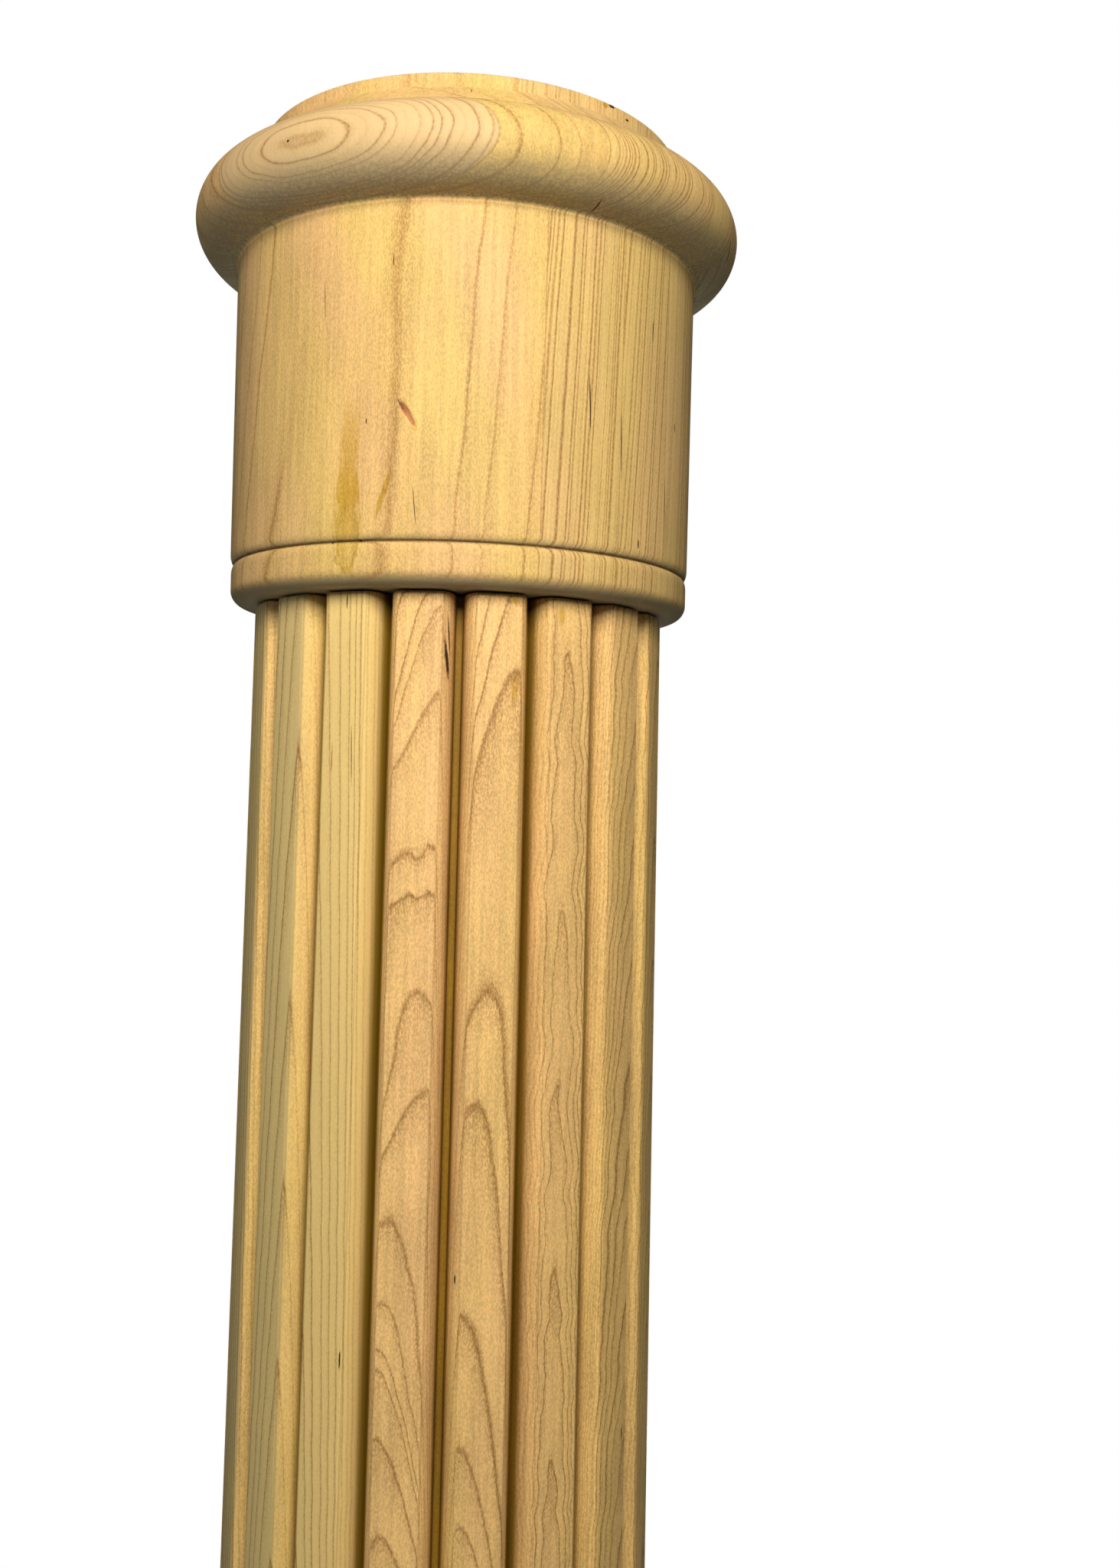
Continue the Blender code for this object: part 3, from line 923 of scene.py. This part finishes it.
# %% Shaft wood
SHAFT_SPLITS = [
    (-2.85, 57.3, SHAFT_TOP - 17.5, 0.62, 8.4, -6.4), (-2.5, 57.3, SHAFT_TOP - 12.0, 0.3, 9.0, -4.0),
    (-29.5, 57.2, SHAFT_TOP - 2.3, 0.22, 2.8, 0.0), (-26.85, 57.6, SHAFT_TOP - 41.0, 0.15, 10.0, -2.0),
    (-32.6, 57.6, SHAFT_TOP - 42.0, 0.12, 5.0, 0.0), (-19.3, 57.0, SHAFT_TOP - 48.5, 0.28, 1.2, 0.0),
    (-24.85, 59.0, SHAFT_TOP - 190.5, 0.30, 3.2, 0.0), (3.0, 58.6, SHAFT_TOP - 169.3, 0.26, 1.7, 0.0),
    (54.3, 59.3, SHAFT_TOP - 217.6, 0.35, 2.0, 0.0), (40.7, 59.0, SHAFT_TOP - 216.8, 0.28, 2.6, 0.0),
]
SHAFT_AMBER = [
    (26.6, 57.2, SHAFT_TOP - 4.5, 1.5, 3.4, 0.0), (13.8, 57.2, SHAFT_TOP - 1.8, 2.2, 1.2, 0.0),
    (14.2, 57.3, SHAFT_TOP - 23.5, 1.3, 6.5, 4.0),
]
STAVE_DRIFT_SIZE = (16.0, 16.0, 80.0)
GREENISH_STAVES = -3.5
CROWN_EDGE_SHADE_DEPTH = 0.22
GROOVE_SHADE_DEPTHS = (3.0, 6.4)
REED_TOP_PAINTED_LIGHT = (0.5, 5.0, 1.16, 1.06)


def shaft_wood():
    wood = Wood("shaft_wood")
    number, across, depth, down = stave_place(wood)
    row = wood.plus(number, REED_COUNT / 2)
    figure = wood.per_board(row, REED_COUNT, -60.0, 60.0, stave_figures())
    lines, glow = shaft_lines(wood, number, across, depth, down, figure)

    pink = figure[3]
    drift = wood.ramp(wood.noise(wood.place, STAVE_DRIFT_SIZE, 1.0), 0.35, 0.65, -0.2, 0.2)
    ground, fibres, speckle = plain_wood(wood, wood.math("MULTIPLY_ADD", pink, 0.1, drift))
    ground = wood.blend(wood.ramp(pink, 0.0, 3.5, 0.7, 0.0), ground, WOOD_YELLOW)
    is_greenish = wood.math("COMPARE", number, GREENISH_STAVES, 0.6)
    on_crown = wood.ramp(depth, 0.15, 0.7, 0.5, 0.0)
    ground = wood.blend(wood.times(is_greenish, on_crown), ground, WOOD_GREEN)
    # A thin line of painted shade along the edges of the crowns, where the shoulders turn away.
    crown_edge_shade = wood.ramp(wood.size(wood.minus(depth, CROWN_EDGE_SHADE_DEPTH)), 0.04, 0.24, 0.3, 0.0)
    ground = wood.blend(crown_edge_shade, ground, RING_BROWN)
    # Painted shade in the grooves, browner with depth, together with some dirt.
    ground = wood.blend(wood.ramp(depth, *GROOVE_SHADE_DEPTHS), ground, GROOVE_SHADE_AND_DIRT_BROWN, "MULTIPLY")
    # Painted light on the reeds' ends under the capital, where the bead casts its shadow.
    ground = wood.shade(ground, wood.ramp(down, *REED_TOP_PAINTED_LIGHT))
    amber = wood.ragged(SHAFT_AMBER, speckle, 0.4, 0.25, 0.9, 0.75)
    dark = wood.ragged(SHAFT_SPLITS, speckle, 0.5, 0.35, 0.75)
    return finish_wood(wood, ground, lines, glow, fibres, speckle, amber, 0.0, dark)


print(len(SHAFT_SPLITS), "splits and", len(SHAFT_AMBER), "stains on the shaft")

# %% [markdown]
# The base is glued up from flat boards like the capital. A fixed random value for each board says where
# its pith lies, and its rings are again tubes round that pith.

# %% Base wood
BASE_RING_WIDTH = 1.8
BASE_LEAN = 0.04
BASE_DRIFT_SIZE = (26.0, 26.0, 90.0)


def base_wood():
    wood = Wood("base_wood")
    x, y, z = wood.split(wood.place)
    number = wood.math("FLOOR", wood.over(x, BOARD_THICKNESS))
    pith = wood.math("MULTIPLY_ADD", wood.chance(wood.plus(number, 5.3)), 120.0, -60.0)
    across = wood.minus(y, pith)
    through = wood.minus(x, wood.math("MULTIPLY_ADD", number, BOARD_THICKNESS, -40.0))
    distance = wood.vector("LENGTH", wood.join(across, through, 0.0))
    distance = wood.plus(distance, wander(wood, BOARD_STRAY))
    rings = wood.over(wood.math("MULTIPLY_ADD", z, BASE_LEAN, distance), BASE_RING_WIDTH)
    numbered = wood.math("MULTIPLY_ADD", number, STAVE_NUMBERS_APART, rings)
    lines, glow = ring_lines(wood, numbered, 0.12, 0.4)
    drift = wood.ramp(wood.noise(wood.place, BASE_DRIFT_SIZE, 2.0), 0.35, 0.65, 0.1, 0.8)
    ground, fibres, speckle = plain_wood(wood, drift)
    return finish_wood(wood, ground, lines, glow, fibres, speckle)

# %% [markdown]
# A turned piece is one outline carried round an axis. Blender's Screw modifier does that, and here it is
# done in code, because then every point can also be pushed in or out a little along its own outward
# direction. That gives the faint unevenness of hand sanding, and a real hollow where some bark fell out.

# %% Turning an outline
WAVE_COUNT = 9
MOST_TURNS = 9
SHORTEST_WAVE = 60.0
SANDING_DEPTH = 0.10


def closed_mesh(name, grid, bottom, top, material):
    """A smooth piece from rows of points that run round, lowest row first, in millimetres.

    A fan closes each end. bottom and top are the heights of the fans' middle points.
    """
    rows, columns = grid.shape[:2]
    count = rows * columns
    last = count - columns
    faces = []
    for column in range(columns):
        beside = (column + 1) % columns
        for start in range(0, last, columns):
            above = start + columns
            faces.append((start + column, start + beside, above + beside, above + column))
        faces.append((count, beside, column))
        faces.append((count + 1, last + column, last + beside))
    points = np.concatenate([grid.reshape(-1, 3), [(0.0, 0.0, bottom), (0.0, 0.0, top)]])
    mesh = bpy.data.meshes.new(name)
    mesh.from_pydata((points * MM).tolist(), [], faces)
    mesh.materials.append(material)
    mesh.shade_smooth()
    piece = bpy.data.objects.new(name, mesh)
    bpy.context.scene.collection.objects.link(piece)
    return piece


def turned(name, outline, foot, azimuths, relief, material):
    """Turns an outline whose first and last points lie on the axis. relief gives millimetres outwards."""
    outline = np.array(outline, float)
    run = np.gradient(outline, axis=0)
    normals = np.stack([run[:, 1], -run[:, 0]], axis=1)
    normals = (normals / np.linalg.norm(normals, axis=1, keepdims=True))[1:-1]
    body = outline[1:-1]
    push = relief(azimuths[None, :], body[:, 1:2])
    radius = body[:, 0:1] + normals[:, 0:1] * push
    height = body[:, 1:2] + normals[:, 1:2] * push
    grid = np.stack([radius * np.sin(azimuths), -radius * np.cos(azimuths), height + foot], axis=2)
    return closed_mesh(name, grid, outline[0, 1] + foot, outline[-1, 1] + foot, material)


def sanding_marks(seed):
    """Smooth waves round and along a piece, never outwards, the same each time for the same seed."""
    dice = np.random.default_rng(seed)
    turns = dice.integers(1, MOST_TURNS, WAVE_COUNT)
    lengths = dice.uniform(SHORTEST_WAVE, 3 * SHORTEST_WAVE, WAVE_COUNT)
    starts = dice.uniform(0, math.tau, WAVE_COUNT)

    def wave(azimuth, height):
        total = 0.0
        for turn, length, start in zip(turns, lengths, starts):
            total = total + np.sin(turn * azimuth + math.tau * height / length + start)
        return SANDING_DEPTH * total / WAVE_COUNT - SANDING_DEPTH

    return wave

# %% [markdown]
# Capital and base share their members, so each member is written once. A collar is the bead and the fine
# quirk that sets it off from the drum. A ring is the small fillet at the drum's end and the big half-
# round beyond it.

# %% Turned members
BEAD_SETBACK = 0.2
BEAD_ROUND = 3.8
BEAD_SHOULDER = 2.6
QUIRK_DEPTH = 1.4
DRUM_LIP = 2.6
FILLET = 1.2
RING_SETOUT = 0.55


def arc(centre, radii, start, end, steps):
    """Points of an elliptical arc in the (radius, height) plane, with angles from the outward direction."""
    angles = np.radians(np.linspace(start, end, steps + 1))
    return [(centre[0] + radii[0] * math.cos(a), centre[1] + radii[1] * math.sin(a)) for a in angles]


def straight(start, end, spacing):
    """Points after start, up to and with end, about spacing apart."""
    count = max(1, round(math.dist(start, end) / spacing))
    shares = [step / count for step in range(1, count + 1)]
    return [(start[0] + (end[0] - start[0]) * s, start[1] + (end[1] - start[1]) * s) for s in shares]


def collar(drum_radius):
    bead_radius = drum_radius - BEAD_SETBACK
    quirk_radius = drum_radius - QUIRK_DEPTH
    shoulder = BEAD_HEIGHT - BEAD_SHOULDER
    points = arc((bead_radius - BEAD_ROUND, BEAD_ROUND), (BEAD_ROUND, BEAD_ROUND), -90, 0, 10)
    points += straight(points[-1], (bead_radius, shoulder), 1.5)
    points += arc((quirk_radius, shoulder), (bead_radius - quirk_radius, BEAD_SHOULDER), 0, 90, 7)[1:]
    points += arc((quirk_radius, BEAD_HEIGHT + DRUM_LIP), (QUIRK_DEPTH, DRUM_LIP), -90, 0, 7)[1:]
    return points


def ring(drum_radius, drum_end, ring_round, steps):
    lowest = math.degrees(math.acos((FILLET - RING_SETOUT) / ring_round))
    centre = (drum_radius + RING_SETOUT, drum_end + ring_round)
    points = arc((drum_radius + FILLET, drum_end - FILLET), (FILLET, FILLET), 180, 90, 5)[1:]
    return points + arc(centre, (ring_round, ring_round), -lowest, 90, steps)


print("bead", BEAD_HEIGHT, "mm high, quirk", QUIRK_DEPTH, "mm deep")

# %% [markdown]
# The capital's outline runs from the flat face on the reeds over the bead, the drum and the ring, then up
# a steep slope to the low top plate. Where bark fell out of the drum, the piece has a small hollow with a
# tilted oval outline, and the points stand much closer together there, so that its edge comes out sharp.

# %% Capital
CAPITAL_STEPS = 600
RING_ROUND = 11.14
PLATE_RADIUS = 58.2
PLATE_START = 123.48
PLATE_EDGE = 0.8
CAPITAL_TOP = 126.98
POCKET_AZIMUTH = math.radians(-12.5)
POCKET_HEIGHT = 41.3
POCKET_HALF_WIDTH = 0.8
POCKET_HALF_LENGTH = 4.2
POCKET_LEAN = math.radians(-33.0)
POCKET_DEPTH = 0.5
POCKET_REACH = 0.06
POCKET_STEPS = 40


def capital_outline():
    outline = [(radius, 0.0) for radius in (0.0, 30.0, 46.0, 52.0, 56.0)] + collar(DRUM_RADIUS)
    outline += straight(outline[-1], (DRUM_RADIUS, POCKET_HEIGHT - 5), 2.6)
    outline += straight(outline[-1], (DRUM_RADIUS, POCKET_HEIGHT + 5), 0.45)
    outline += straight(outline[-1], (DRUM_RADIUS, DRUM_END - FILLET), 2.6)
    outline += ring(DRUM_RADIUS, DRUM_END, RING_ROUND, 46)
    outline += straight(outline[-1], (PLATE_RADIUS, PLATE_START), 1.2)
    plate_centre = (PLATE_RADIUS - PLATE_EDGE, CAPITAL_TOP - PLATE_EDGE)
    outline += arc(plate_centre, (PLATE_EDGE, PLATE_EDGE), 0, 90, 4)
    return outline + [(radius, CAPITAL_TOP) for radius in (45.0, 25.0, 0.0)]


def capital_relief():
    """Sanding marks everywhere, and the hollow that the lost bark left."""
    sanding = sanding_marks(3)

    def relief(azimuth, height):
        sideways = (azimuth - POCKET_AZIMUTH) * DRUM_RADIUS
        upwards = height - POCKET_HEIGHT
        across = (sideways * math.cos(POCKET_LEAN) - upwards * math.sin(POCKET_LEAN)) / POCKET_HALF_WIDTH
        along = (sideways * math.sin(POCKET_LEAN) + upwards * math.cos(POCKET_LEAN)) / POCKET_HALF_LENGTH
        hollow = np.clip(1 - across ** 2 - along ** 2, 0, 1)
        return sanding(azimuth, height) - POCKET_DEPTH * np.sqrt(hollow)

    return relief


even_steps = np.linspace(-math.pi, math.pi, CAPITAL_STEPS, endpoint=False)
fine_steps = np.linspace(POCKET_AZIMUTH - POCKET_REACH, POCKET_AZIMUTH + POCKET_REACH, POCKET_STEPS)
far_steps = even_steps[np.abs(even_steps - POCKET_AZIMUTH) > POCKET_REACH + 0.002]
all_steps = np.sort(np.concatenate([far_steps, fine_steps]))
capital = turned("capital", capital_outline(), CAPITAL_FOOT, all_steps, capital_relief(), capital_wood())
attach(capital, "root")
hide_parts("turned_capital")
print("capital", len(capital.data.polygons), "faces")

# %% [markdown]
# A reed has a flat crown, two sharp-started round shoulders and a narrow groove on each side. The section
# is worked out once, repeated eighteen times round, and then carried down the shaft. Every point scales
# with the taper. At both ends the reeds' edges are rubbed soft, which shows as a pale rim under the
# capital.

# %% Shaft
REED_DEPTH = 8.8
SHOULDER_WIDTH = 3.6
GROOVE_WIDTH = 1.6
SHOULDER_START = math.radians(14)
CROWN_EDGE = 0.25
CROWN_STEPS = 8
SHOULDER_STEPS = 10
EDGE_ROUND = 0.9
EDGE_STEPS = 5
SHAFT_ROWS = 80
SHARP_EDGE = math.radians(40)


def reed_section():
    """One reed as (depth, azimuth) pairs from groove to groove."""
    pitch = math.tau / REED_COUNT
    groove_half = GROOVE_WIDTH / 2 / (SHAFT_TOP_RADIUS - REED_DEPTH)
    crown_half = pitch / 2 - (GROOVE_WIDTH / 2 + SHOULDER_WIDTH) / SHAFT_TOP_RADIUS
    turn = np.linspace(SHOULDER_START, math.pi / 2, SHOULDER_STEPS + 1)
    across = (np.sin(turn) - math.sin(SHOULDER_START)) / (1 - math.sin(SHOULDER_START))
    down = (math.cos(SHOULDER_START) - np.cos(turn)) / math.cos(SHOULDER_START) * REED_DEPTH
    side = crown_half + across * (pitch / 2 - groove_half - crown_half)
    inner_half = crown_half - CROWN_EDGE / SHAFT_TOP_RADIUS
    crown = np.linspace(-inner_half, inner_half, CROWN_STEPS + 1)
    depth = np.concatenate([down[::-1], np.zeros(len(crown)), down])
    azimuth = np.concatenate([-side[::-1], crown, side])
    return depth, azimuth


def shaft_section():
    """The whole section as points (x, y) and the direction that faces out of the wood at each."""
    depth, azimuth = reed_section()
    middles = math.tau * (np.arange(REED_COUNT) + 0.5) / REED_COUNT
    angles = (middles[:, None] + azimuth[None, :]).ravel()
    radii = np.tile(SHAFT_TOP_RADIUS - depth, REED_COUNT)
    section = np.stack([radii * np.sin(angles), -radii * np.cos(angles)], axis=1)
    run = np.roll(section, -1, axis=0) - np.roll(section, 1, axis=0)
    outwards = np.stack([run[:, 1], -run[:, 0]], axis=1)
    return section, outwards / np.linalg.norm(outwards, axis=1, keepdims=True)


def reeded_shaft():
    """Carries the section down the taper, pulled in a little at the two rubbed edges."""
    section, outwards = shaft_section()
    turn = np.linspace(0, math.pi / 2, EDGE_STEPS + 1)
    edge_down, edge_in = EDGE_ROUND * (1 - np.sin(turn)), EDGE_ROUND * (1 - np.cos(turn))
    middle = np.linspace(EDGE_ROUND, SHAFT_LENGTH - EDGE_ROUND, SHAFT_ROWS)[1:-1]
    downs = np.concatenate([edge_down[::-1], middle, SHAFT_LENGTH - edge_down])
    insets = np.concatenate([edge_in[::-1], np.zeros(len(middle)), edge_in])
    scales = 1 + (SHAFT_FOOT_RADIUS / SHAFT_TOP_RADIUS - 1) * downs / SHAFT_LENGTH
    flat = scales[:, None, None] * (section[None] - outwards[None] * insets[:, None, None])
    heights = np.broadcast_to((SHAFT_TOP - downs)[:, None, None], flat.shape[:2] + (1,))
    grid = np.concatenate([flat, heights], axis=2)[::-1]
    return closed_mesh("shaft", grid, grid[0, 0, 2], grid[-1, 0, 2], shaft_wood())


shaft = reeded_shaft()
shaft.data.set_sharp_from_angle(angle=SHARP_EDGE)
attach(shaft, "root")
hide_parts("reeded_shaft")
print("shaft", len(shaft.data.polygons), "faces")

# %% [markdown]
# The base repeats the bead and the drum upside down, with a heavier ring and a flat round foot under it.

# %% Base
BASE_STEPS = 480
BASE_DRUM_RADIUS = SHAFT_FOOT_RADIUS + 7.15
BASE_DRUM_END = 62.4
BASE_RING_ROUND = 13.0
FOOT_RADIUS = BASE_DRUM_RADIUS + 11.5
FOOT_EDGE = 1.0
BASE_HEIGHT = (base_high.z - base_low.z) / MM
FLAT_FACE = 0.5


def base_outline():
    """Written downwards from the face under the reeds, then turned over."""
    outline = [(radius, 0.0) for radius in (0.0, 40.0, 56.0, 62.0)] + collar(BASE_DRUM_RADIUS)
    outline += straight(outline[-1], (BASE_DRUM_RADIUS, BASE_DRUM_END - FILLET), 2.2)
    outline += ring(BASE_DRUM_RADIUS, BASE_DRUM_END, BASE_RING_ROUND, 40)
    edge_radius = FOOT_RADIUS - FOOT_EDGE
    outline += arc((edge_radius, outline[-1][1] + FOOT_EDGE), (FOOT_EDGE, FOOT_EDGE), -90, 0, 5)
    outline += straight(outline[-1], (FOOT_RADIUS, BASE_HEIGHT - FOOT_EDGE), 2.5)
    outline += arc((edge_radius, BASE_HEIGHT - FOOT_EDGE), (FOOT_EDGE, FOOT_EDGE), 0, 90, 5)[1:]
    outline += [(radius, BASE_HEIGHT) for radius in (60.0, 30.0, 0.0)]
    return [(radius, BASE_HEIGHT - depth) for radius, depth in outline[::-1]]


def base_relief():
    """Sanding marks on the walls. The two flat ends stay flat."""
    sanding = sanding_marks(8)

    def relief(azimuth, height):
        on_wall = (height > FLAT_FACE) & (height < BASE_HEIGHT - FLAT_FACE)
        return sanding(azimuth, height) * np.where(on_wall, 1.0, 0.0)

    return relief


even_steps = np.linspace(-math.pi, math.pi, BASE_STEPS, endpoint=False)
base = turned("base", base_outline(), 0.0, even_steps, base_relief(), base_wood())
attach(base, "root")
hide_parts("turned_base")
print("base", len(base.data.polygons), "faces")
